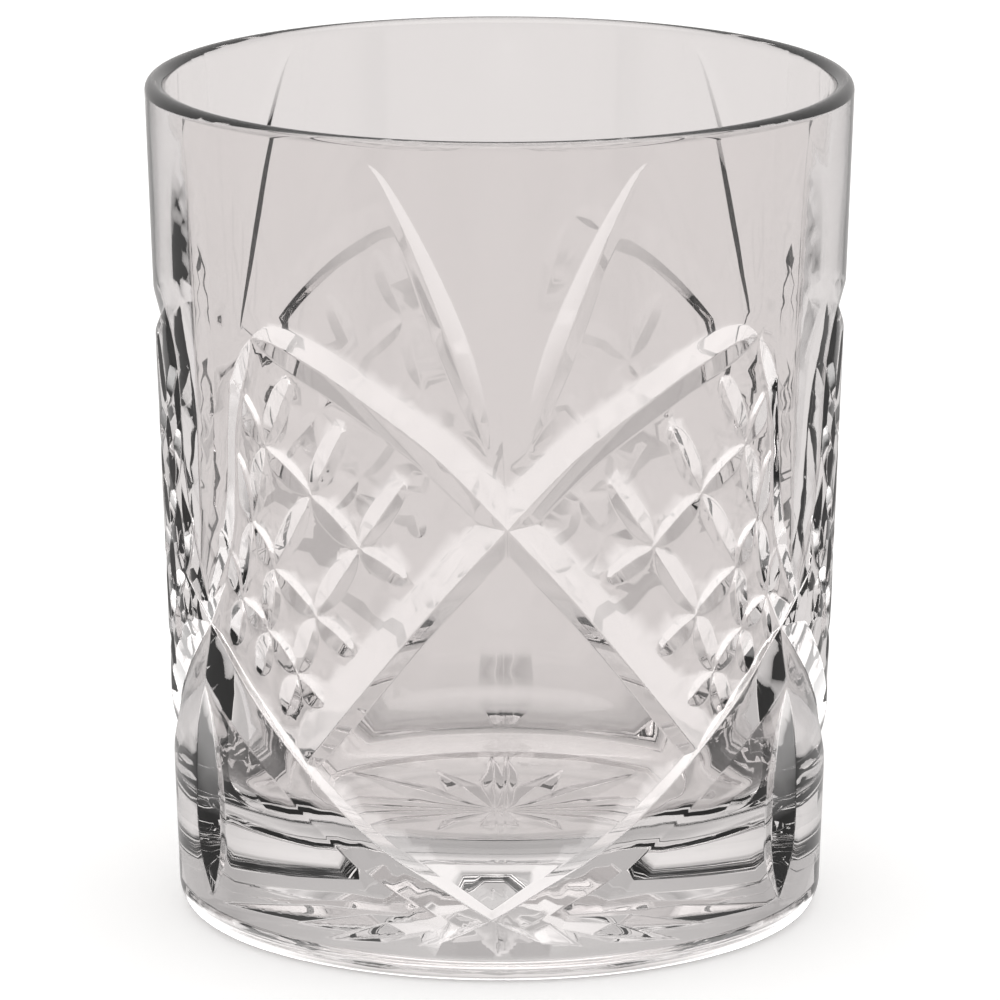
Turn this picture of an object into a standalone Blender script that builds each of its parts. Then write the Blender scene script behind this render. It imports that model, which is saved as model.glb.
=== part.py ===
"""A heavy pressed-glass tumbler: one piece of glass, a turned body with mitre cuts in its side and a cut star under its foot.

+Z is up, the foot stands on Z = 0, and the crossing of the two long sashes faces -Y. Lengths are in millimetres and angles in degrees until a mesh is made."""

import math

import bmesh
import bpy
from mathutils import Vector

MM = 0.001

# ---- turned body ----
HEIGHT = 100.0
BASE_RADIUS = 38.4  # of the outer side, carried down to Z = 0
RIM_RADIUS = 41.9  # of the outer side, carried up to the top
LIP_THICKNESS = 2.4
HEEL_DROP = 3.0  # height of the rounding at the foot
HEEL_INSET = 2.0
FOOT_INNER_RADIUS = 28.5
UNDERSIDE_RISE = 1.0
FLOOR_HEIGHT = 12.5
FLOOR_RADIUS = 26.5
CAVITY_RADIUS_LOW = 35.2  # where the rounded corner of the cavity ends
CAVITY_CORNER = 8.7
STEPS = 72

# ---- repeats round the side ----
MOTIFS = 3
SECTOR = 360.0 / MOTIFS
CROSSING_TURN = 1.3  # of the sashes, rays, tendrils and lattice
FRAME_TURN = -1.3  # of the swags, blades and olives, which stand between the crossings

# ---- mitre cuts: (degrees from the middle of the motif, height, share of the full cut) along each valley ----
# Wall widths are given for the wall on the left of the direction of travel, then on its right.
SASH = (
    (-46.2, 74.8, 0.0),
    (-42.0, 74.5, 0.7),
    (-36.0, 73.0, 1.0),
    (-27.0, 70.0, 1.0),
    (-12.5, 63.2, 1.0),
    (0.0, 54.4, 1.0),
    (11.1, 45.9, 1.0),
    (22.0, 36.9, 1.0),
    (33.0, 27.8, 1.0),
    (38.0, 23.6, 0.3),
)
SASH_WALLS = (3.2, 1.85)
SASH_DEPTH = 0.85

SWAG = (
    (-11.0, 4.2, 0.0),
    (0.0, 7.6, 0.6),
    (9.1, 11.3, 0.8),
    (20.5, 15.8, 0.92),
    (31.0, 21.4, 1.0),
    (46.0, 30.0, 1.15),
    (56.0, 35.9, 1.3),
    (61.5, 39.2, 1.0),
    (69.0, 45.0, 0.0),
)
SWAG_WALLS = (2.0, 3.7)
SWAG_DEPTH = 1.0

TENDRIL = (
    (45.4, 75.4, 0.0),
    (47.3, 71.6, 0.9),
    (49.2, 67.8, 1.0),
    (50.7, 63.0, 0.75),
    (51.4, 56.0, 0.75),
    (53.4, 49.0, 1.0),
    (60.5, 40.0, 0.4),
)
TENDRIL_WALLS = (1.4, 1.4)
TENDRIL_DEPTH = 0.6

RAY = (
    (24.4, 98.0, 0.0),
    (21.6, 96.2, 0.35),
    (18.8, 92.6, 0.6),
    (14.2, 85.2, 0.85),
    (9.2, 75.8, 1.0),
    (5.2, 68.0, 0.7),
    (2.4, 62.2, 0.0),
)
RAY_WALLS = (1.4, 2.3)
RAY_DEPTH = 0.52

BLADE = (
    (0.0, 98.0, 0.0),
    (0.0, 95.8, 0.42),
    (0.0, 91.4, 0.79),
    (0.0, 86.0, 0.95),
    (0.0, 76.0, 1.0),
    (0.0, 66.0, 1.0),
    (0.0, 57.0, 0.82),
    (0.0, 49.0, 0.5),
    (0.0, 38.5, 0.05),
)
BLADE_WALLS = (4.7, 4.7)
BLADE_DEPTH = 0.6

OLIVE = (
    (0.0, 31.5, 0.0),
    (0.0, 26.0, 0.65),
    (0.0, 18.0, 1.0),
    (0.0, 10.5, 0.95),
    (0.0, 4.4, 0.0),
)
OLIVE_WALLS = (3.7, 3.7)
OLIVE_DEPTH = 1.3

LATTICE = (
    ((51.0, 69.6), (43.3, 62.2), (34.0, 57.3), (25.0, 51.7), (16.4, 48.0)),
    ((50.6, 61.0), (46.8, 52.9), (41.9, 47.7), (33.5, 42.8), (26.2, 38.8)),
    ((55.2, 51.0), (50.0, 43.2), (43.8, 40.0), (37.7, 35.5), (32.2, 31.8)),
    ((37.6, 71.0), (43.3, 62.2), (46.8, 52.9), (50.0, 43.2), (52.4, 37.0)),
    ((27.4, 66.2), (34.0, 57.3), (41.9, 47.7), (43.8, 40.0), (46.0, 34.2)),
    ((16.7, 60.4), (25.0, 51.7), (33.5, 42.8), (37.7, 35.5), (40.6, 30.2)),
)
LATTICE_SHARES = (0.0, 1.0, 1.0, 1.0, 0.0)
LATTICE_WALLS = (1.5, 1.5)
LATTICE_DEPTH = 0.58

TIP_LIFT = 0.1  # how far a cutter stands off the side where its share is 0
MIRROR_LIFT = 0.11  # of the mirrored half of each motif, so that no three valleys meet in one point
CUTTER_CLEAR = 0.6  # how far a cutter reaches outside the side

# ---- star under the foot ----
STAR_RAYS = 16
STAR_RADIUS = 26.0
STAR_SHORT_SHARE = 0.82  # of every second ray
STAR_HALF_WIDTH = 2.4
STAR_DEPTH = 1.3


def clear_scene():
    for obj in list(bpy.data.objects):
        bpy.data.objects.remove(obj, do_unlink=True)


def side_radius(z):
    return BASE_RADIUS + (RIM_RADIUS - BASE_RADIUS) * z / HEIGHT


def on_side(degrees, z, out=0.0):
    """A point of the outer side, or that far outside it, in millimetres. Degrees run from -Y towards +X."""
    a = math.radians(degrees)
    r = side_radius(z) + out
    return Vector((r * math.sin(a), -r * math.cos(a), z))


def mesh_object(name, points, faces, collection):
    mesh = bpy.data.meshes.new(name)
    mesh.from_pydata([tuple(Vector(p) * MM) for p in points], [], faces)
    mesh.update()
    obj = bpy.data.objects.new(name, mesh)
    collection.objects.link(obj)
    return obj


def arc(centre, radius, start, end, steps):
    """Points of a circle arc in the (r, z) plane, ends included."""
    found = []
    for i in range(steps + 1):
        a = math.radians(start + (end - start) * i / steps)
        found.append((centre[0] + radius[0] * math.cos(a), centre[1] + radius[1] * math.sin(a)))
    return found


def body_profile():
    """Half section of the uncut body, from the top of the lip down the outer side, under the foot and back up the cavity."""
    half = LIP_THICKNESS / 2
    lip_z = HEIGHT - half
    outer_lip = side_radius(lip_z)
    lip_centre = (outer_lip - half, lip_z)
    points = arc(lip_centre, (half, half), 90, 0, 3)
    points.append((side_radius(HEEL_DROP), HEEL_DROP))
    heel_centre = (side_radius(HEEL_DROP) - HEEL_INSET, HEEL_DROP)
    points += arc(heel_centre, (HEEL_INSET, HEEL_DROP), 0, -90, 3)[1:]
    points.append((FOOT_INNER_RADIUS, 0.0))
    points.append((FOOT_INNER_RADIUS - 1.0, UNDERSIDE_RISE))
    points.append((0.0, UNDERSIDE_RISE))
    points.append((0.0, FLOOR_HEIGHT))
    corner_centre = (FLOOR_RADIUS, FLOOR_HEIGHT + CAVITY_CORNER)
    points += arc(corner_centre, (CAVITY_RADIUS_LOW - FLOOR_RADIUS, CAVITY_CORNER), -90, 0, 5)
    points += arc(lip_centre, (half, half), 180, 90, 3)[:-1]
    return points


def turned_body(collection):
    profile = body_profile()
    # The profile is open at the axis, where its first and last points on it are welded by the turn.
    start = next(i for i, p in enumerate(profile) if p[0] == 0.0)
    ordered = profile[start + 1 :] + profile[: start + 1]
    mesh = bpy.data.meshes.new("tumbler_body")
    mesh.from_pydata(
        [(r * MM, 0.0, z * MM) for r, z in ordered],
        [(i, i + 1) for i in range(len(ordered) - 1)],
        [],
    )
    obj = bpy.data.objects.new("tumbler_body", mesh)
    collection.objects.link(obj)
    screw = obj.modifiers.new("turn", "SCREW")
    screw.axis = "Z"
    screw.angle = math.tau
    screw.steps = screw.render_steps = STEPS
    screw.use_merge_vertices = True
    screw.merge_threshold = 0.00001
    screw.use_normal_calculate = True
    return obj


def curve_through(anchors, samples):
    """Even samples of a smooth curve through the anchors, as (degrees, height, share of the full cut)."""
    scale = math.radians(1.0) * (BASE_RADIUS + RIM_RADIUS) / 2
    flat = [Vector((a * scale, z, share)) for a, z, share in anchors]
    flat = [2 * flat[0] - flat[1]] + flat + [2 * flat[-1] - flat[-2]]
    fine = []
    for i in range(1, len(flat) - 2):
        p0, p1, p2, p3 = flat[i - 1 : i + 3]
        for k in range(16):
            t = k / 16
            fine.append(
                0.5
                * (
                    2 * p1
                    + (p2 - p0) * t
                    + (2 * p0 - 5 * p1 + 4 * p2 - p3) * t * t
                    + (3 * p1 - p0 - 3 * p2 + p3) * t * t * t
                )
            )
    fine.append(flat[-2])
    run = [0.0]
    for a, b in zip(fine, fine[1:]):
        run.append(run[-1] + (b.xy - a.xy).length)
    found = []
    j = 0
    for k in range(samples):
        target = run[-1] * k / (samples - 1)
        while j < len(run) - 2 and run[j + 1] < target:
            j += 1
        t = (target - run[j]) / (run[j + 1] - run[j])
        p = fine[j].lerp(fine[j + 1], t)
        found.append((p.x / scale, p.y, max(p.z, 0.0)))
    return found


def flat_wall_reach(wall, depth, deep):
    """How far from the valley a flat wall stands CUTTER_CLEAR outside the round side, when it leaves the side at its own width."""
    radius = (BASE_RADIUS + RIM_RADIUS) / 2
    slope = depth / wall - wall * deep / depth / (2 * radius)
    return radius * (math.sqrt(slope * slope + 2 * (deep + CUTTER_CLEAR) / radius) - slope)


def mitre_cutter(name, anchors, walls, depth, samples, collection, turn=0.0, mirror=False, broad=False):
    """A V-shaped blade that follows the side, as deep and wide as its share at each point, and lifting out where it ends.

    A broad one has flat walls across the curve of the side, and a crown between them that keeps its back outside the glass."""
    path = curve_through(anchors, samples)
    left, right = walls
    sign = -1.0 if mirror else 1.0
    lift = MIRROR_LIFT if mirror else 0.0
    points = []
    for k, (a, z, share) in enumerate(path):
        z += lift
        before, after = path[max(k - 1, 0)], path[min(k + 1, samples - 1)]
        round_mm = math.radians(1.0) * side_radius(z)
        run = Vector(((after[0] - before[0]) * round_mm, after[1] - before[1])).normalized()
        side = Vector((-run.y, run.x))
        deep = depth * share - TIP_LIFT * (1 - share)
        points.append(on_side(sign * a + turn, z, -deep))
        for wall in (left, -right):
            across = wall / depth * (deep + CUTTER_CLEAR)
            if broad:
                across = math.copysign(flat_wall_reach(abs(wall), depth, deep), wall)
            ea, ez = sign * (a + side.x * across / round_mm) + turn, z + side.y * across
            points.append(on_side(ea, ez, CUTTER_CLEAR))
            if broad and wall > 0:
                points.append(on_side(sign * a + turn, z, 2 * CUTTER_CLEAR))
    count = 4 if broad else 3
    end = count * (samples - 1)
    faces = [(0, k, k + 1) for k in range(1, count - 1)] + [(end, end + k + 1, end + k) for k in range(1, count - 1)]
    for k in range(samples - 1):
        i, j = count * k, count * (k + 1)
        for p, q in [(n, (n + 1) % count) for n in range(count)]:
            # Each strip is split in two so that its faces stay flat.
            faces.append((i + p, j + p, j + q))
            faces.append((i + p, j + q, i + q))
    obj = mesh_object(name, points, faces, collection)
    tidy(obj)
    return obj


def tidy(obj):
    """Turns the faces of a closed mesh outwards."""
    bm = bmesh.new()
    bm.from_mesh(obj.data)
    bmesh.ops.recalc_face_normals(bm, faces=bm.faces)
    if bm.calc_volume(signed=True) < 0:
        bmesh.ops.reverse_faces(bm, faces=bm.faces)
    bm.to_mesh(obj.data)
    bm.free()


def star_cutter(name, turn, length, collection):
    """One ray of the star under the foot: a V that is widest a third of the way out."""
    top = UNDERSIDE_RISE
    along = ((2.0, 0.35), (length * 0.55, 1.0), (length, 0.0))
    points = []
    for r, s in along:
        half = max(STAR_HALF_WIDTH * s, 0.1)
        deep = STAR_DEPTH * s if s else -0.2
        under = top - 0.6
        widen = 1 + 0.6 / max(deep, 0.6)
        for x, y, z in ((r, 0.0, top + deep), (r, half * widen, under), (r, -half * widen, under)):
            c, d = math.cos(turn), math.sin(turn)
            points.append(Vector((x * c - y * d, x * d + y * c, z)))
    count = len(along)
    faces = [(0, 1, 2), (3 * count - 3, 3 * count - 1, 3 * count - 2)]
    for k in range(count - 1):
        i, j = 3 * k, 3 * k + 3
        for p, q in ((0, 1), (1, 2), (2, 0)):
            faces.append((i + p, j + p, j + q))
            faces.append((i + p, j + q, i + q))
    obj = mesh_object(name, points, faces, collection)
    tidy(obj)
    return obj


def side_cutters(collection):
    """Every cut in the side: each motif's own half, its mirror image, and the upright cuts between the motifs."""
    halves = [
        ("swag", SWAG, SWAG_WALLS, SWAG_DEPTH, 20, FRAME_TURN),
        ("sash", SASH, SASH_WALLS, SASH_DEPTH, 22, CROSSING_TURN),
        ("tendril", TENDRIL, TENDRIL_WALLS, TENDRIL_DEPTH, 10, CROSSING_TURN),
        ("ray", RAY, RAY_WALLS, RAY_DEPTH, 10, CROSSING_TURN),
    ]
    for line, anchors in enumerate(LATTICE):
        shared = tuple((a, z, share) for (a, z), share in zip(anchors, LATTICE_SHARES))
        halves.append((f"lattice_{line}", shared, LATTICE_WALLS, LATTICE_DEPTH, 9, CROSSING_TURN))
    uprights = [
        ("blade", BLADE, BLADE_WALLS, BLADE_DEPTH, 14),
        ("olive", OLIVE, OLIVE_WALLS, OLIVE_DEPTH, 8),
    ]
    cutters = []
    for motif in range(MOTIFS):
        for name, anchors, walls, depth, samples, shift in halves:
            for mirror in (False, True):
                tag = f"cut_{name}_{motif}{'m' if mirror else ''}"
                turn = SECTOR * motif + shift
                cutters.append(mitre_cutter(tag, anchors, walls, depth, samples, collection, turn, mirror))
        for name, anchors, walls, depth, samples in uprights:
            turn = SECTOR * (motif + 0.5) + FRAME_TURN
            broad = name == "blade"
            cutters.append(mitre_cutter(f"cut_{name}_{motif}", anchors, walls, depth, samples, collection, turn, broad=broad))
    return cutters


def glass():
    material = bpy.data.materials.new("clear_glass")
    material.use_nodes = True
    shader = material.node_tree.nodes["Principled BSDF"]
    shader.inputs["Base Color"].default_value = (0.93, 0.93, 0.92, 1.0)
    shader.inputs["Roughness"].default_value = 0.03
    shader.inputs["IOR"].default_value = 1.52
    shader.inputs["Transmission Weight"].default_value = 1.0
    material.diffuse_color = (0.86, 0.84, 0.83, 1.0)
    return material


def build():
    clear_scene()
    scene = bpy.context.scene
    helpers = bpy.data.collections.new("cutters")
    scene.collection.children.link(helpers)
    body = turned_body(scene.collection)
    cutters = side_cutters(helpers)
    for ray in range(STAR_RAYS):
        length = STAR_RADIUS if ray % 2 == 0 else STAR_RADIUS * STAR_SHORT_SHARE
        cutters.append(star_cutter(f"cut_star_{ray}", math.tau * ray / STAR_RAYS, length, helpers))
    for cutter in cutters:
        cutter.display_type = "WIRE"
        cutter.hide_render = True
        cut = body.modifiers.new(cutter.name, "BOOLEAN")
        cut.operation = "DIFFERENCE"
        cut.solver = "EXACT"
        cut.object = cutter
        cut.show_render = cut.show_viewport
    body.data.materials.append(glass())


build()
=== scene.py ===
import math

import bpy
import numpy as np
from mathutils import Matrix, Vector
from mathutils.geometry import delaunay_2d_cdt


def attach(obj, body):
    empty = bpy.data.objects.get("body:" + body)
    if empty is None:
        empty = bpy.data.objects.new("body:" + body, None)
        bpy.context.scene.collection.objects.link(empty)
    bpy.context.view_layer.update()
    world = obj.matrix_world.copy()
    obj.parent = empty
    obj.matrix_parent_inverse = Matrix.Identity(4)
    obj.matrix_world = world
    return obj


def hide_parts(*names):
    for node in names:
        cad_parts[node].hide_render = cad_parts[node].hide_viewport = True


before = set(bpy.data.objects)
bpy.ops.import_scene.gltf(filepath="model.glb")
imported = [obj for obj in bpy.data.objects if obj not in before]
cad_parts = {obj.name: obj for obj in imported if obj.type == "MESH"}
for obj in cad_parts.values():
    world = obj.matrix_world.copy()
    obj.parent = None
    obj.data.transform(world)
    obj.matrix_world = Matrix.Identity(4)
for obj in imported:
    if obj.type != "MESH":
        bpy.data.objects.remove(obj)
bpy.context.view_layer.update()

MM = 0.001

# ---------------------------------------------------------------- sizes, in millimetres and degrees
HEIGHT = 100.0
BASE_RADIUS = 38.4
RIM_RADIUS = 41.9
LIP_THICKNESS = 2.4
HEEL_DROP = 3.0
HEEL_INSET = 2.0
FOOT_INNER_RADIUS = 28.5
UNDERSIDE_RISE = 1.0
FLOOR_HEIGHT = 12.5
FLOOR_RADIUS = 26.5
CAVITY_RADIUS_LOW = 35.2
CAVITY_CORNER = 8.7
UNROLL = (BASE_RADIUS + RIM_RADIUS) / 2  # mm of arc for each radian of the unrolled side

SECTOR = 120.0
CROSSING_TURN = 1.3
FRAME_TURN = -1.3

SASH = (
    (-46.2, 74.8, 0.0), (-42.0, 74.5, 0.7), (-36.0, 73.0, 1.0), (-27.0, 70.0, 1.0), (-12.5, 63.2, 1.0),
    (0.0, 54.4, 1.0), (11.1, 45.9, 1.0), (22.0, 36.9, 1.0), (33.0, 27.8, 1.0), (38.0, 23.6, 0.3),
)
SASH_WALLS = (3.2, 1.85)
SASH_DEPTH = 0.85

SWAG = (
    (-11.0, 4.2, 0.0), (0.0, 7.6, 0.6), (9.1, 11.3, 0.8), (20.5, 15.8, 0.92), (31.0, 21.4, 1.0),
    (46.0, 30.0, 1.15), (56.0, 35.9, 1.3), (61.5, 39.2, 1.0), (69.0, 45.0, 0.0),
)
SWAG_WALLS = (2.0, 3.7)
SWAG_DEPTH = 1.0

TENDRIL = (
    (45.4, 75.4, 0.0), (47.3, 71.6, 0.9), (49.2, 67.8, 1.0), (50.7, 63.0, 0.75),
    (51.4, 56.0, 0.75), (53.4, 49.0, 1.0), (60.5, 40.0, 0.4),
)
TENDRIL_WALLS = (1.4, 1.4)
TENDRIL_DEPTH = 0.6

RAY = ((24.4, 98.0, 0.0), (21.6, 96.2, 0.35), (18.8, 92.6, 0.6), (14.2, 85.2, 0.85), (9.2, 75.8, 1.0), (5.2, 68.0, 0.7), (2.4, 62.2, 0.0))
RAY_WALLS = (1.4, 2.3)
RAY_DEPTH = 0.52

BLADE = (
    (0.0, 98.0, 0.0), (0.0, 95.8, 0.42), (0.0, 91.4, 0.79), (0.0, 86.0, 0.95), (0.0, 76.0, 1.0),
    (0.0, 66.0, 1.0), (0.0, 57.0, 0.82), (0.0, 49.0, 0.5), (0.0, 38.5, 0.05),
)
BLADE_WALLS = (4.7, 4.7)
BLADE_DEPTH = 0.5

OLIVE = ((0.0, 31.5, 0.0), (0.0, 26.0, 0.65), (0.0, 18.0, 1.0), (0.0, 10.5, 0.95), (0.0, 4.4, 0.0))
OLIVE_WALLS = (3.7, 3.7)
OLIVE_DEPTH = 1.3

LATTICE = (
    ((51.0, 69.6), (43.3, 62.2), (34.0, 57.3), (25.0, 51.7), (16.4, 48.0)),
    ((50.6, 61.0), (46.8, 52.9), (41.9, 47.7), (33.5, 42.8), (26.2, 38.8)),
    ((55.2, 51.0), (50.0, 43.2), (43.8, 40.0), (37.7, 35.5), (32.2, 31.8)),
    ((37.6, 71.0), (43.3, 62.2), (46.8, 52.9), (50.0, 43.2), (52.4, 37.0)),
    ((27.4, 66.2), (34.0, 57.3), (41.9, 47.7), (43.8, 40.0), (46.0, 34.2)),
    ((16.7, 60.4), (25.0, 51.7), (33.5, 42.8), (37.7, 35.5), (40.6, 30.2)),
)
LATTICE_NODE_SHARE = 0.06  # the leaves of a line nearly end where lines cross
LATTICE_WALLS = (1.5, 1.5)
LATTICE_DEPTH = 0.58
TIP_LIFT = 0.1

STAR_RAYS = 16
STAR_RADIUS = 26.0
STAR_SHORT_SHARE = 0.82
STAR_HALF_WIDTH = 2.4
STAR_DEPTH = 1.3

VALLEY_ROUND = 0.10  # how much a fire-polished valley and ridge are rounded, as depth
EDGE_ROUND = 0.07
SEAM_DEGREES = 0.7  # mould seam on the front
SEAM_HEIGHT = 0.012
SEAM_WIDTH = 0.22

COLUMNS = 96  # round one sector, on the plain rings
CREASE_STEP = 0.75
ROWS = (0.15, 0.38)  # rows of points on each side of a crease
FILL_STEP = 2.0
GRID = 0.2


# ---------------------------------------------------------------- cuts in the side, as a depth over the unrolled side
def curve_through(anchors, step, blunt):
    scale = math.radians(1.0) * UNROLL
    flat = np.array([(a * scale, z, share) for a, z, share in anchors])
    flat = np.vstack([2 * flat[0] - flat[1], flat, 2 * flat[-1] - flat[-2]])
    fine = []
    for i in range(1, len(flat) - 2):
        p0, p1, p2, p3 = flat[i - 1 : i + 3]
        t = (np.arange(16) / 16)[:, None]
        fine.append(0.5 * (2 * p1 + (p2 - p0) * t + (2 * p0 - 5 * p1 + 4 * p2 - p3) * t * t + (3 * p1 - p0 - 3 * p2 + p3) * t**3))
    fine = np.vstack(fine + [flat[-2][None]])
    run = np.concatenate([[0.0], np.cumsum(np.hypot(*np.diff(fine[:, :2], axis=0).T))])
    at = np.linspace(0, run[-1], max(int(run[-1] / step), 6))
    found = np.stack([np.interp(at, run, fine[:, k]) for k in range(3)], axis=1)
    found[:, 2] = np.maximum(found[:, 2], 0.0)
    if blunt:
        found[:, 2] = np.sqrt(1 - (1 - np.minimum(found[:, 2], 1.0)) ** 2)
    return found


class Cut:
    def __init__(self, anchors, walls, depth, turn, mirror=False, blunt=False):
        path = curve_through(anchors, 0.6, blunt)
        left, right = walls
        if mirror:
            path[:, 0] *= -1
            left, right = right, left
        path[:, 0] += math.radians(turn) * UNROLL
        self.path, self.depth = path, depth
        self.left, self.right = depth / left, depth / right
        reach = max(walls) * path[:, 2].max() + 1.2
        self.low = path[:, :2].min(axis=0) - reach
        self.high = path[:, :2].max(axis=0) + reach

    def near(self, x, z):
        return (x > self.low[0]) & (x < self.high[0]) & (z > self.low[1]) & (z < self.high[1])

    def fields(self, x, z):
        """(depth of the valley there, signed distance from the valley, + on the left) at each point."""
        best = np.full(x.shape, np.inf)
        side = np.zeros(x.shape)
        deep = np.zeros(x.shape)
        for (x0, z0, s0), (x1, z1, s1) in zip(self.path, self.path[1:]):
            dx, dz = x1 - x0, z1 - z0
            t = np.clip(((x - x0) * dx + (z - z0) * dz) / (dx * dx + dz * dz), 0, 1)
            ex, ez = x - x0 - t * dx, z - z0 - t * dz
            far = ex * ex + ez * ez
            closer = far < best
            best = np.where(closer, far, best)
            sign = np.where(dx * (z - z0) - dz * (x - x0) >= 0, 1.0, -1.0)
            side = np.where(closer, sign, side)
            share = s0 + t * (s1 - s0)
            deep = np.where(closer, share, deep)
        deep = self.depth * deep - TIP_LIFT * (1 - deep)
        return deep, side * np.sqrt(best)

    def sharp(self, x, z):
        deep, off = self.fields(x, z)
        return deep - np.maximum(self.left * off, -self.right * off), off

    def soft(self, x, z):
        deep, off = self.fields(x, z)
        both = (self.left + self.right) * off
        return deep - 0.5 * ((self.left - self.right) * off + np.sqrt(both * both + VALLEY_ROUND**2))


def leaf_anchors(line):
    """A lattice line as a row of leaves, each widest halfway between two crossings."""
    anchors = []
    for n, (a, z) in enumerate(line):
        anchors.append((a, z, 0.0 if n in (0, len(line) - 1) else LATTICE_NODE_SHARE))
        if n < len(line) - 1:
            b, y = line[n + 1]
            anchors.append(((a + b) / 2, (z + y) / 2, 1.0))
    return anchors


def all_cuts(low, high):
    """Every cut that reaches into the strip of the unrolled side between two angles."""
    cuts = []
    for motif in (-1, 0, 1):
        for mirror in (False, True):
            turn = SECTOR * motif
            cuts.append(Cut(SWAG, SWAG_WALLS, SWAG_DEPTH, turn + FRAME_TURN, mirror))
            cuts.append(Cut(SASH, SASH_WALLS, SASH_DEPTH, turn + CROSSING_TURN, mirror))
            cuts.append(Cut(TENDRIL, TENDRIL_WALLS, TENDRIL_DEPTH, turn + CROSSING_TURN, mirror))
            cuts.append(Cut(RAY, RAY_WALLS, RAY_DEPTH, turn + CROSSING_TURN, mirror))
            for line in LATTICE:
                anchors = leaf_anchors(line)
                cuts.append(Cut(anchors, LATTICE_WALLS, LATTICE_DEPTH, turn + CROSSING_TURN, mirror, blunt=True))
        middle = SECTOR * (motif + 0.5) + FRAME_TURN
        cuts.append(Cut(BLADE, BLADE_WALLS, BLADE_DEPTH, middle))
        cuts.append(Cut(OLIVE, OLIVE_WALLS, OLIVE_DEPTH, middle))
    return [c for c in cuts if c.high[0] > low and c.low[0] < high]


def soft_max(a, b, width):
    return 0.5 * (a + b + np.sqrt((a - b) ** 2 + width * width))


def soft_depth(cuts, x, z):
    found = np.zeros(x.shape)
    for cut in cuts:
        near = cut.near(x, z)
        if near.any():
            found[near] = soft_max(found[near], cut.soft(x[near], z[near]), EDGE_ROUND)
    off = x - math.radians(SEAM_DEGREES) * UNROLL
    found -= SEAM_HEIGHT * np.exp(-((off / SEAM_WIDTH) ** 2) * 4)
    return found


def side_radius(z):
    return BASE_RADIUS + (RIM_RADIUS - BASE_RADIUS) * z / HEIGHT


# ---------------------------------------------------------------- creases: where one wall gives way to another
def crease_chains(cuts, low, high, z0, z1):
    """Polylines of the unrolled side along every crease, found on a fine grid and set exactly between its points."""
    nx = int(round((high - low) / GRID))
    nz = int(round((z1 - z0) / GRID))
    xs, zs = np.linspace(low, high, nx + 1), np.linspace(z0, z1, nz + 1)
    X, Z = np.meshgrid(xs, zs, indexing="ij")
    top = np.zeros(X.shape)
    owner = np.zeros(X.shape, int)
    values, offs = [np.zeros(X.shape, np.float32)], [np.zeros(X.shape, np.float32)]
    for n, cut in enumerate(cuts, 1):
        near = cut.near(X, Z)
        value = np.full(X.shape, -9.0, np.float32)
        off = np.zeros(X.shape, np.float32)
        if near.any():
            value[near], off[near] = cut.sharp(X[near], Z[near])
        better = value > top
        top = np.where(better, value, top)
        owner = np.where(better, n, owner)
        values.append(value)
        offs.append(off)
    V, O = np.stack(values), np.stack(offs)
    side = np.take_along_axis(O, owner[None], 0)[0] >= 0
    label = owner * 2 + (side & (owner > 0))

    def crossings(ia, ja, ib, jb):
        la, lb = owner[ia, ja], owner[ib, jb]
        same = la == lb
        ga = np.where(same, np.abs(O[la, ia, ja]), V[la, ia, ja] - V[lb, ia, ja])
        gb = np.where(same, np.abs(O[la, ib, jb]), V[lb, ib, jb] - V[la, ib, jb])
        return np.clip(ga / np.maximum(ga + gb, 1e-9), 0.02, 0.98)

    points, index = [], {}
    for axis in (0, 1):
        differ = label[1:] != label[:-1] if axis == 0 else label[:, 1:] != label[:, :-1]
        I, J = np.nonzero(differ)
        A, B = (I + 1, J) if axis == 0 else (I, J + 1)
        t = crossings(I, J, A, B)
        px, pz = X[I, J] + t * (X[A, B] - X[I, J]), Z[I, J] + t * (Z[A, B] - Z[I, J])
        for i, j, x, z in zip(I.tolist(), J.tolist(), px.tolist(), pz.tolist()):
            index[(axis, i, j)] = len(points)
            points.append((x, z))
    links = {}

    def link(a, b):
        links.setdefault(a, set()).add(b)
        links.setdefault(b, set()).add(a)

    mixed = (label[1:, 1:] != label[:-1, :-1]) | (label[1:, :-1] != label[:-1, 1:]) | (label[1:, 1:] != label[1:, :-1])
    for i, j in zip(*(v.tolist() for v in np.nonzero(mixed))):
        ring = [index.get(k) for k in ((0, i, j), (1, i + 1, j), (0, i, j + 1), (1, i, j))]
        ring = [r for r in ring if r is not None]
        if len(ring) == 2:
            link(*ring)
        elif len(ring) > 2:
            mid = len(points)
            points.append(tuple(np.mean([points[r] for r in ring], axis=0)))
            for r in ring:
                link(r, mid)
    chains, used = [], set()
    for start, others in links.items():
        if len(others) == 2:
            continue
        for nxt in others:
            if (start, nxt) in used:
                continue
            chain = [start, nxt]
            used.add((start, nxt))
            while len(links[chain[-1]]) == 2:
                a, b = links[chain[-1]]
                step = b if a == chain[-2] else a
                chain.append(step)
            used.add((chain[-1], chain[-2]))
            chains.append(chain)
    P = np.array(points)
    return [P[c] for c in chains], P


def resampled(chain, step):
    run = np.concatenate([[0.0], np.cumsum(np.hypot(*np.diff(chain, axis=0).T))])
    count = max(int(math.ceil(run[-1] / step)), 1)
    at = np.linspace(0, run[-1], count + 1)
    # The points between the ends are smoothed along the line, to take out the grid's own wobble.
    smooth = chain.copy()
    for _ in range(4):
        smooth[1:-1] = 0.25 * smooth[:-2] + 0.5 * smooth[1:-1] + 0.25 * smooth[2:]
    out = np.stack([np.interp(at, run, smooth[:, k]) for k in range(2)], axis=1)
    out[0], out[-1] = chain[0], chain[-1]
    return out


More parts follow.
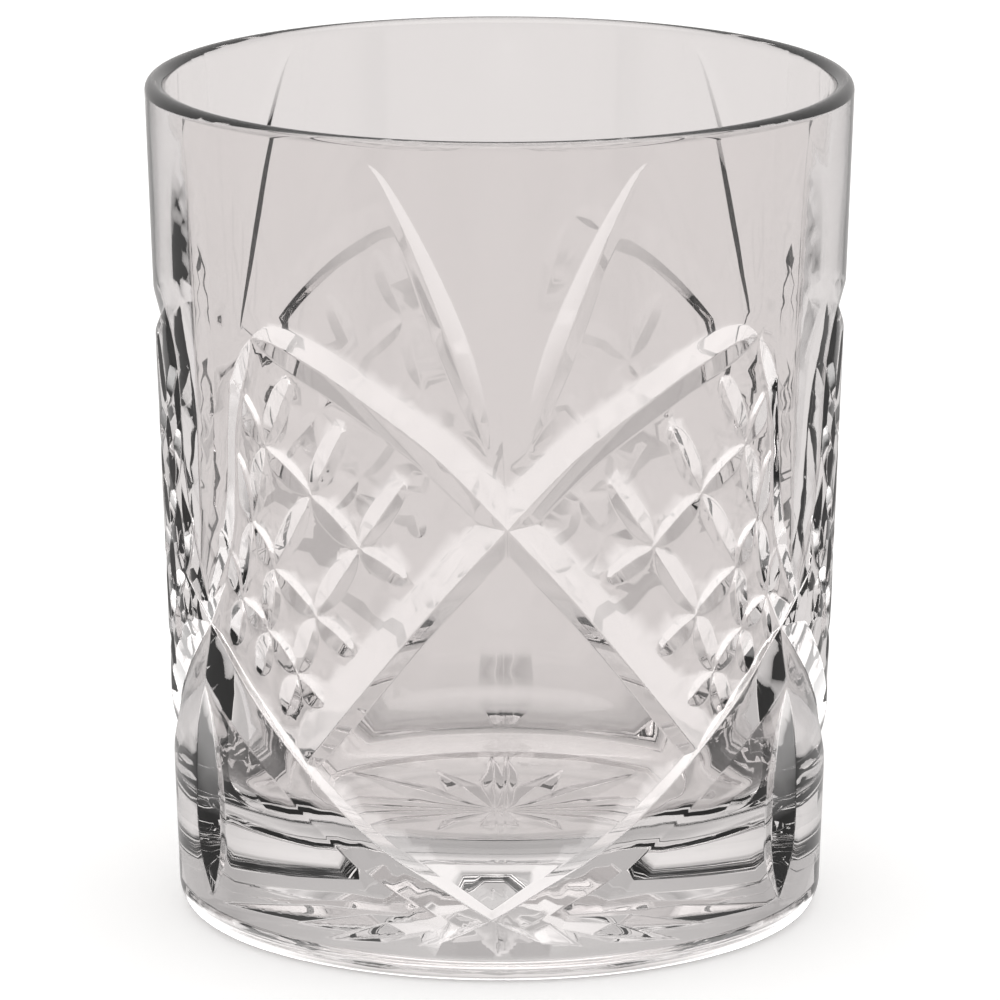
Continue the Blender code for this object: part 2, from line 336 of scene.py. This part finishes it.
class Buckets:
    """A coarse hash of points, to ask whether one is near."""

    def __init__(self, size):
        self.size, self.cells = size, {}

    def key(self, p):
        return int(math.floor(p[0] / self.size)), int(math.floor(p[1] / self.size))

    def add(self, p):
        self.cells.setdefault(self.key(p), []).append(p)

    def any_within(self, p, distance):
        kx, kz = self.key(p)
        for i in (kx - 1, kx, kx + 1):
            for j in (kz - 1, kz, kz + 1):
                for q in self.cells.get((i, j), ()):
                    if (p[0] - q[0]) ** 2 + (p[1] - q[1]) ** 2 < distance * distance:
                        return True
        return False


def sector_mesh():
    """One third of the outer side: points of the unrolled side, triangles, and the order of its border points."""
    low = math.radians(-SECTOR / 2 + FRAME_TURN) * UNROLL
    high = math.radians(SECTOR / 2 + FRAME_TURN) * UNROLL
    z0, z1 = HEEL_DROP, HEIGHT - LIP_THICKNESS / 2
    cuts = all_cuts(low, high)
    chains, _ = crease_chains(cuts, low, high, z0, z1)
    lines = []
    for chain in chains:
        length = np.hypot(*np.diff(chain, axis=0).T).sum()
        if length < 0.25:
            step = 1.0
        else:
            step = CREASE_STEP
        lines.append(resampled(chain, step))
    # Chain ends on the left and right borders are the same points of the glass, so they are made equal.
    ends = {low: [], high: []}
    for n, line in enumerate(lines):
        for k in (0, -1):
            for border in (low, high):
                if abs(line[k][0] - border) < 1e-6:
                    ends[border].append((line[k][1], n, k))
    left, right = sorted(ends[low]), sorted(ends[high])
    border_z = []
    if len(left) == len(right):
        for (za, na, ka), (zb, nb, kb) in zip(left, right):
            z = 0.5 * (za + zb)
            lines[na][ka][1] = lines[nb][kb][1] = z
            border_z.append(z)
    else:
        print("BORDER ENDS DIFFER", len(left), len(right))
    points, edges = [], []
    lookup = {}

    def put(x, z):
        key = (round(x, 4), round(z, 4))
        if key not in lookup:
            lookup[key] = len(points)
            points.append((x, z))
        return lookup[key]

    # borders
    width = high - low
    bottom = [put(low + width * k / COLUMNS, z0) for k in range(COLUMNS + 1)]
    top = [put(low + width * k / COLUMNS, z1) for k in range(COLUMNS + 1)]
    levels = [z0, z1] + border_z
    for k in range(1, int((z1 - z0) / 0.8)):
        z = z0 + (z1 - z0) * k / int((z1 - z0) / 0.8)
        if min(abs(z - b) for b in levels) > 0.3:
            levels.append(z)
    levels.sort()
    sides = {}
    for border in (low, high):
        sides[border] = [put(border, z) for z in levels]
        edges += list(zip(sides[border], sides[border][1:]))
    edges += list(zip(bottom, bottom[1:])) + list(zip(top, top[1:]))
    taken = Buckets(1.0)
    for p in points:
        taken.add(p)
    # creases
    for line in lines:
        ids = [put(*p) for p in line]
        edges += [(a, b) for a, b in zip(ids, ids[1:]) if a != b]
        for p in line:
            taken.add(tuple(p))
    # rows beside the creases
    wanted = []
    seam_x = math.radians(SEAM_DEGREES) * UNROLL
    seam = np.array([(seam_x, z) for z in np.arange(z0 + 1, z1 - 0.5, 1.1)])
    for line in lines + [seam]:
        if len(line) < 2:
            continue
        run = np.gradient(line, axis=0)
        run /= np.maximum(np.hypot(*run.T), 1e-9)[:, None]
        across = np.stack([-run[:, 1], run[:, 0]], axis=1)
        for row in ROWS:
            for sign in (1, -1):
                for p, n in zip(line, across):
                    wanted.append((row, tuple(p + sign * row * n)))
        if line is seam:
            for p in line:
                wanted.append((0.1, tuple(p)))
    for z in levels:
        for row in ROWS:
            wanted.append((row, (low + row, z)))
            wanted.append((row, (high - row, z)))
    wanted.sort(key=lambda w: w[0])
    for row, (x, z) in wanted:
        if not (low + 0.08 < x < high - 0.08 and z0 + 0.3 < z < z1 - 0.3):
            continue
        if taken.any_within((x, z), row * 0.8):
            continue
        put(x, z)
        taken.add((x, z))
    # the plain areas
    rows = int((z1 - z0) / (FILL_STEP * 0.87))
    for j in range(1, rows):
        z = z0 + (z1 - z0) * j / rows
        count = int(width / FILL_STEP)
        for k in range(count):
            x = low + width * (k + 0.5 * (j % 2) + 0.25) / count
            if low + 0.5 < x < high - 0.5 and not taken.any_within((x, z), 0.95):
                put(x, z)
    verts, _, faces, _, _, _ = delaunay_2d_cdt([Vector(p) for p in points], edges, [], 0, 1e-5)
    P = np.array([tuple(v) for v in verts])
    F = np.array([f for f in faces if len(f) == 3])
    a, b, c = P[F[:, 0]], P[F[:, 1]], P[F[:, 2]]
    area = (b[:, 0] - a[:, 0]) * (c[:, 1] - a[:, 1]) - (b[:, 1] - a[:, 1]) * (c[:, 0] - a[:, 0])
    F = np.where((area < 0)[:, None], F[:, ::-1], F)
    F = F[np.abs(area) > 1e-9]
    print("sector", len(P), "points", len(F), "triangles", len(chains), "chains")
    return P, F, cuts, low, high, z0, z1


def side_points(P, cuts):
    """Places and normals of points of the unrolled side on the cut glass."""
    x, z = P[:, 0], P[:, 1]
    h = soft_depth(cuts, x, z)
    e = 0.03
    hx = (soft_depth(cuts, x + e, z) - soft_depth(cuts, x - e, z)) / (2 * e)
    hz = (soft_depth(cuts, x, z + e) - soft_depth(cuts, x, z - e)) / (2 * e)
    fade = np.clip((z - HEEL_DROP) / 0.5, 0, 1) * np.clip((HEIGHT - LIP_THICKNESS / 2 - z) / 0.5, 0, 1)
    h, hx, hz = h * fade, hx * fade, hz * fade
    a = x / UNROLL
    r = side_radius(z) - h
    r_a = -hx * UNROLL
    r_z = (RIM_RADIUS - BASE_RADIUS) / HEIGHT - hz
    out = np.stack([np.sin(a), -np.cos(a), 0 * a], axis=1)
    round_ = np.stack([np.cos(a), np.sin(a), 0 * a], axis=1)
    up = np.array([[0.0, 0.0, 1.0]])
    places = out * r[:, None] + up * z[:, None]
    normals = out * r[:, None] - round_ * r_a[:, None] - up * (r * r_z)[:, None]
    normals /= np.linalg.norm(normals, axis=1)[:, None]
    return places, normals


def turned(points, degrees):
    a = math.radians(degrees)
    c, s = math.cos(a), math.sin(a)
    return np.stack([points[:, 0] * c - points[:, 1] * s, points[:, 0] * s + points[:, 1] * c, points[:, 2]], axis=1)


def arc(centre, radius, start, end, steps):
    a = np.radians(np.linspace(start, end, steps + 1))
    return np.stack([centre[0] + radius[0] * np.cos(a), centre[1] + radius[1] * np.sin(a)], axis=1)


def star_rise(r, a):
    """Height of the cut star over the underside, for rays that meet in ridges."""
    pitch = math.tau / STAR_RAYS
    found = np.zeros(r.shape)
    nearest = np.round(a / pitch)
    for k in (-1, 0, 1):
        ray = nearest + k
        length = np.where(np.mod(ray, 2) == 0, STAR_RADIUS, STAR_RADIUS * STAR_SHORT_SHARE)
        off = a - ray * pitch
        along, across = r * np.cos(off), np.abs(r * np.sin(off))
        share = np.interp(along / length, [0, 2 / 26, 0.55, 1.0], [0.3, 0.35, 1.0, 0.0])
        slope = STAR_DEPTH / STAR_HALF_WIDTH
        value = STAR_DEPTH * share - 0.12 * (1 - share) - slope * np.sqrt(across**2 + 0.05**2)
        found = soft_max(found, value, 0.08)
    return found


def glass_mesh():
    P, F, cuts, low, high, z0, z1 = sector_mesh()
    places, normals = side_points(P, cuts)
    count = len(P)
    eps = 1e-4
    on_left = np.nonzero(np.abs(P[:, 0] - low) < eps)[0]
    on_right = np.nonzero(np.abs(P[:, 0] - high) < eps)[0]
    on_left = on_left[np.argsort(P[on_left, 1])]
    on_right = on_right[np.argsort(P[on_right, 1])]
    assert len(on_left) == len(on_right), (len(on_left), len(on_right))
    partner = dict(zip(on_right.tolist(), on_left.tolist()))
    all_points, all_normals = [], []
    index = np.zeros((3, count), int)
    total = 0
    keep = np.array([i for i in range(count) if i not in partner])
    for k in range(3):
        index[k, keep] = total + np.arange(len(keep))
        total += len(keep)
        all_points.append(turned(places[keep], SECTOR * k))
        all_normals.append(turned(normals[keep], SECTOR * k))
    for k in range(3):
        for r, l in partner.items():
            index[k, r] = index[(k + 1) % 3, l]
    faces = [index[k][F] for k in range(3)]
    rings = {}
    for name, level in (("top", z1), ("bottom", z0)):
        row = np.nonzero(np.abs(P[:, 1] - level) < eps)[0]
        row = row[np.argsort(P[row, 0])]
        assert len(row) == COLUMNS + 1, len(row)
        rings[name] = np.concatenate([index[k][row[:-1]] for k in range(3)])
    ring_count = 3 * COLUMNS
    first = -SECTOR / 2 + FRAME_TURN
    angles = np.radians(first + 360.0 * np.arange(ring_count) / ring_count)
    out = np.stack([np.sin(angles), -np.cos(angles), 0 * angles], axis=1)

    def revolve(profile, start, flip, rise=None):
        """Rings along a profile from a ring that is there already, closed at the axis."""
        nonlocal total
        run = np.gradient(profile, axis=0)
        across = np.stack([-run[:, 1], run[:, 0]], axis=1) if flip else np.stack([run[:, 1], -run[:, 0]], axis=1)
        across /= np.linalg.norm(across, axis=1)[:, None]
        previous = start
        for (r, z), (nr, nz) in zip(profile[1:-1], across[1:-1]):
            zz = np.full(ring_count, z)
            n = out * nr + np.array([[0, 0, nz]])
            if rise is not None:
                zz = zz + rise(np.full(ring_count, r), angles)
                e = 0.02
                dr = (rise(np.full(ring_count, r + e), angles) - rise(np.full(ring_count, max(r - e, 0)), angles)) / (2 * e)
                da = (rise(np.full(ring_count, r), angles + e / max(r, 0.5)) - rise(np.full(ring_count, r), angles - e / max(r, 0.5))) / (2 * e) * (max(r, 0.5) / max(r, 1e-3))
                if nz < -0.99:
                    side = np.stack([np.cos(angles), np.sin(angles), 0 * angles], axis=1)
                    n = out * dr[:, None] + side * da[:, None] + np.array([[0, 0, -1.0]])
                    n /= np.linalg.norm(n, axis=1)[:, None]
            all_points.append(out * r + np.array([[0, 0, 1.0]]) * zz[:, None])
            all_normals.append(n)
            ring = total + np.arange(ring_count)
            total += ring_count
            a, b = previous, np.roll(previous, -1)
            c, d = np.roll(ring, -1), ring
            if flip:
                quads = np.stack([b, a, d, c], axis=1)
            else:
                quads = np.stack([a, b, c, d], axis=1)
            faces.append(np.vstack([quads[:, [0, 1, 2]], quads[:, [0, 2, 3]]]))
            previous = ring
        z = profile[-1][1] + (float(rise(np.zeros(1), np.zeros(1))[0]) if rise is not None else 0.0)
        all_points.append(np.array([[0, 0, z]]))
        all_normals.append(np.array([[0, 0, -1.0 if flip else 1.0]]))
        centre = total
        total += 1
        a, b = previous, np.roll(previous, -1)
        faces.append(np.stack([b, a, np.full(ring_count, centre)], axis=1) if flip else np.stack([a, b, np.full(ring_count, centre)], axis=1))

    half = LIP_THICKNESS / 2
    lip_z = HEIGHT - half
    lip = (side_radius(lip_z) - half, lip_z)
    corner = (FLOOR_RADIUS, FLOOR_HEIGHT + CAVITY_CORNER)
    inside = np.vstack([
        arc(lip, (half, half), 0, 180, 12),
        np.linspace((lip[0] - half, lip_z), (CAVITY_RADIUS_LOW, corner[1]), 9)[1:-1],
        arc(corner, (CAVITY_RADIUS_LOW - FLOOR_RADIUS, CAVITY_CORNER), 0, -90, 16),
        np.linspace((FLOOR_RADIUS, FLOOR_HEIGHT), (0, FLOOR_HEIGHT), 6)[1:],
    ])
    revolve(inside, rings["top"], False)
    heel = (side_radius(HEEL_DROP) - HEEL_INSET, HEEL_DROP)
    foot = np.vstack([
        arc(heel, (HEEL_INSET, HEEL_DROP), 0, -90, 9),
        np.array([(34.5, 0.0), (31.0, 0.0), (29.2, 0.0)]),
        arc((FOOT_INNER_RADIUS, 0.35), (0.35, 0.35), -90, -170, 3),
        arc((FOOT_INNER_RADIUS - 1.0, UNDERSIDE_RISE - 0.3), (0.3, 0.3), 20, 90, 3),
        np.linspace((FOOT_INNER_RADIUS - 1.6, UNDERSIDE_RISE), (0, UNDERSIDE_RISE), 36),
    ])
    revolve(foot, rings["bottom"], True, star_rise)
    points = np.vstack(all_points) * MM
    normals = np.vstack(all_normals)
    faces = np.vstack(faces)
    print("glass", len(points), "points", len(faces), "triangles")
    return points, normals, faces


def make_glass(material):
    points, normals, faces = glass_mesh()
    mesh = bpy.data.meshes.new("tumbler_glass")
    mesh.from_pydata(points.tolist(), [], faces.tolist())
    mesh.materials.append(material)
    mesh.polygons.foreach_set("use_smooth", [True] * len(mesh.polygons))
    mesh.update()
    mesh.normals_split_custom_set_from_vertices([tuple(n) for n in normals])
    obj = bpy.data.objects.new("tumbler_glass", mesh)
    bpy.context.scene.collection.objects.link(obj)
    return obj


# ---------------------------------------------------------------- materials
def glass_material():
    material = bpy.data.materials.new("clear_glass")
    material.use_nodes = True
    nodes, links = material.node_tree.nodes, material.node_tree.links
    shader = nodes["Principled BSDF"]
    shader.inputs["Base Color"].default_value = (0.893, 0.870, 0.866, 1.0)
    shader.inputs["Roughness"].default_value = 0.0
    shader.inputs["IOR"].default_value = 1.52
    shader.inputs["Transmission Weight"].default_value = 1.0
    coords = nodes.new("ShaderNodeTexCoord")
    swell = nodes.new("ShaderNodeTexNoise")
    swell.inputs["Scale"].default_value = 55.0
    swell.inputs["Detail"].default_value = 1.5
    links.new(coords.outputs["Object"], swell.inputs["Vector"])
    bump = nodes.new("ShaderNodeBump")
    bump.inputs["Strength"].default_value = 0.05
    bump.inputs["Distance"].default_value = 0.0006
    links.new(swell.outputs["Fac"], bump.inputs["Height"])
    links.new(bump.outputs["Normal"], shader.inputs["Normal"])
    wipe = nodes.new("ShaderNodeTexNoise")
    wipe.inputs["Scale"].default_value = 90.0
    wipe.inputs["Detail"].default_value = 5.0
    links.new(coords.outputs["Object"], wipe.inputs["Vector"])
    spread = nodes.new("ShaderNodeMapRange")
    spread.inputs["From Min"].default_value = 0.45
    spread.inputs["From Max"].default_value = 0.8
    spread.inputs["To Min"].default_value = 0.0
    spread.inputs["To Max"].default_value = 0.006
    links.new(wipe.outputs["Fac"], spread.inputs["Value"])
    links.new(spread.outputs["Result"], shader.inputs["Roughness"])
    return material


def plain_material(name, colour, roughness=0.9, emission=0.0):
    material = bpy.data.materials.new(name)
    material.use_nodes = True
    shader = material.node_tree.nodes["Principled BSDF"]
    shader.inputs["Base Color"].default_value = (*colour, 1.0)
    shader.inputs["Roughness"].default_value = roughness
    shader.inputs["Specular IOR Level"].default_value = 0.0
    if emission:
        shader.inputs["Emission Color"].default_value = (*colour, 1.0)
        shader.inputs["Emission Strength"].default_value = emission
    return material


def quad(name, corners, material):
    mesh = bpy.data.meshes.new(name)
    mesh.from_pydata(corners, [], [(0, 1, 2, 3)])
    mesh.materials.append(material)
    mesh.update()
    obj = bpy.data.objects.new(name, mesh)
    bpy.context.scene.collection.objects.link(obj)
    return obj


# ---------------------------------------------------------------- object
glass = glass_material()
tumbler = make_glass(glass)
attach(tumbler, "root")
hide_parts("tumbler_body")

# ---------------------------------------------------------------- stage, light and camera
def unseen(obj):
    """Cloth of the light tent: the glass shows it, a camera doesn't, and it doesn't shade the floor."""
    obj.visible_camera = False
    obj.visible_diffuse = False
    obj.visible_shadow = False
    return obj


floor_white = plain_material("floor_white", (0.97, 0.968, 0.965), emission=0.2)
floor = quad("floor", [(-6, -6, -0.0001), (6, -6, -0.0001), (6, 6, -0.0001), (-6, 6, -0.0001)], floor_white)
floor.visible_transmission = False
floor.visible_glossy = False


def tent_material(name, levels, corners, band_share, strength):
    """Cloth whose brightness follows the direction from the glass: by height, and darker towards the four corners."""
    material = bpy.data.materials.new(name)
    material.use_nodes = True
    nodes, links = material.node_tree.nodes, material.node_tree.links
    nodes.clear()

    def math_node(kind, *inputs):
        node = nodes.new("ShaderNodeMath")
        node.operation = kind
        for k, value in enumerate(inputs):
            if isinstance(value, (int, float)):
                node.inputs[k].default_value = value
            else:
                links.new(value, node.inputs[k])
        return node.outputs[0]

    def ramp(value, low, high, stops):
        wide = nodes.new("ShaderNodeMapRange")
        wide.inputs["From Min"].default_value = low
        wide.inputs["From Max"].default_value = high
        links.new(value, wide.inputs["Value"])
        node = nodes.new("ShaderNodeValToRGB")
        while len(node.color_ramp.elements) < len(stops):
            node.color_ramp.elements.new(0.5)
        for element, (at, level) in zip(node.color_ramp.elements, stops):
            element.position = (at - low) / (high - low)
            element.color = (level, level, level, 1)
        links.new(wide.outputs[0], node.inputs[0])
        return node.outputs[0]

    place = nodes.new("ShaderNodeNewGeometry")
    unit = nodes.new("ShaderNodeVectorMath")
    unit.operation = "NORMALIZE"
    links.new(place.outputs["Position"], unit.inputs[0])
    xyz = nodes.new("ShaderNodeSeparateXYZ")
    links.new(unit.outputs[0], xyz.inputs[0])
    round_ = math_node("MULTIPLY", math_node("ARCTAN2", xyz.outputs[0], xyz.outputs[1]), 180 / math.pi)
    off = math_node("PINGPONG", round_, 45.0)
    rise = math_node("MULTIPLY", math_node("ARCSINE", xyz.outputs[2]), 180 / math.pi)
    level = ramp(rise, -90.0, 90.0, levels)
    corner = ramp(off, 0.0, 45.0, corners)
    corner_at = math_node("MULTIPLY", ramp(rise, -90.0, 90.0, CORNER_RISE), ramp(xyz.outputs[1], -1.0, 1.0, CORNER_BACK))
    dim = math_node("SUBTRACT", 1.0, math_node("MULTIPLY", corner_at, math_node("SUBTRACT", 1.0, corner)))
    band = math_node("MULTIPLY", ramp(off, 0.0, 45.0, BAND_ROUND), ramp(rise, -90.0, 90.0, BAND_RISE))
    dim = math_node("MULTIPLY", dim, math_node("SUBTRACT", 1.0, math_node("MULTIPLY", band, band_share)))
    total = math_node("MULTIPLY", dim, math_node("MULTIPLY", level, strength))
    emit = nodes.new("ShaderNodeEmission")
    emit.inputs["Color"].default_value = (1.0, 0.98, 0.972, 1.0)
    links.new(total, emit.inputs["Strength"])
    out = nodes.new("ShaderNodeOutputMaterial")
    links.new(emit.outputs[0], out.inputs["Surface"])
    return material


CORNER = ((0.0, 1.0), (32.0, 1.0), (38.0, 0.85), (42.0, 0.6), (45.0, 0.45))
CORNER_BACK = ((-1.0, 1.0), (-0.1, 1.0), (0.1, 0.2), (1.0, 0.2))
CORNER_RISE = ((-90.0, 0.0), (-45.0, 0.0), (-30.0, 1.0), (35.0, 1.0), (55.0, 0.0), (90.0, 0.0))
BAND_ROUND = ((0.0, 0.0), (5.0, 0.0), (13.0, 1.0), (20.0, 1.0), (27.0, 0.0), (45.0, 0.0))
BAND_RISE = ((-90.0, 0.0), (-34.0, 0.0), (-25.0, 1.0), (-18.0, 1.0), (-14.5, 0.0), (90.0, 0.0))
BEHIND = ((-90.0, 0.36), (-62.0, 0.48), (-47.0, 0.56), (-37.0, 0.74), (-18.0, 0.82), (-10.0, 0.83), (-4.0, 0.88), (5.0, 0.86), (13.0, 0.52), (42.0, 0.55), (60.0, 1.0), (90.0, 1.2))
AROUND = ((-90.0, 0.15), (-62.0, 0.3), (-48.0, 1.0), (-21.5, 1.0), (-18.5, 0.12), (-10.0, 0.14), (45.0, 0.22), (62.0, 0.7), (90.0, 0.7))


def tent(name, radius, material):
    bpy.ops.mesh.primitive_uv_sphere_add(segments=48, ring_count=24, radius=radius, location=(0, 0, 0))
    obj = unseen(bpy.context.object)
    obj.name = name
    obj.data.materials.append(material)
    return obj


behind = tent("tent_seen_through", 5.0, tent_material("tent_cloth", BEHIND, CORNER, 0.3, 1.03))
behind.visible_glossy = False
around = tent("tent_mirrored", 5.2, tent_material("tent_lights", AROUND, ((0.0, 1.0), (45.0, 1.0)), 0.0, 4.4))
around.visible_transmission = False

world = bpy.data.worlds.new("studio")
bpy.context.scene.world = world
world.use_nodes = True
world.node_tree.nodes["Background"].inputs["Color"].default_value = (1.0, 0.995, 0.99, 1.0)
world.node_tree.nodes["Background"].inputs["Strength"].default_value = 1.03

view = bpy.context.scene.view_settings
view.view_transform = "Standard"

data = bpy.data.cameras.new("camera")
data.sensor_width = 36.0
data.lens = 8.6141 * 0.969 * 36.0
data.shift_x = 0.0005
data.clip_start = 0.05
camera = bpy.data.objects.new("camera", data)
camera.location = (0.0, -0.969, 0.27885)
camera.rotation_euler = (math.pi / 2 - 0.2332, 0.0, 0.0)
bpy.context.scene.collection.objects.link(camera)
bpy.context.scene.camera = camera
